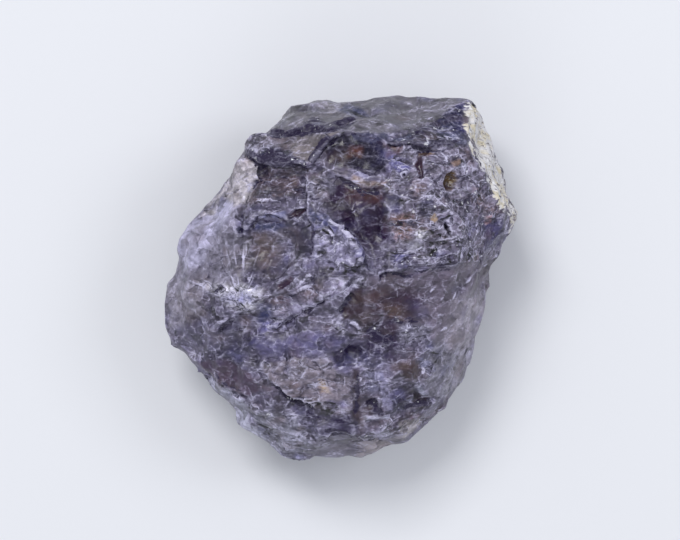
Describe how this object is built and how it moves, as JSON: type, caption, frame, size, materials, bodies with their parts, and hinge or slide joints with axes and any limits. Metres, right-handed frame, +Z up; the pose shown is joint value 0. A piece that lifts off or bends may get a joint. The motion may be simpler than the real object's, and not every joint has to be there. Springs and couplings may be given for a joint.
{
  "type": "rough iolite crystal",
  "caption": "Rough, broken chunk of see-through violet-grey iolite, lying on its flat back with its broad ledged and hackled face up.",
  "frame": {"origin": "on the surface the crystal lies on, under the middle of its bounding box", "axes": "+Z up, out of the broad face; +Y up the broad face, towards its smooth upper facet; +X across it, towards the cream crust"},
  "size_m": [0.0176, 0.0184, 0.0104],
  "materials": {
    "iolite": "broken see-through crystal, violet-grey with smoky brown windows, pale bruised edges and a cream crust on one side"
  },
  "bodies": {
    "root": {"iolite_crystal": "iolite"}
  },
  "joints": []
}
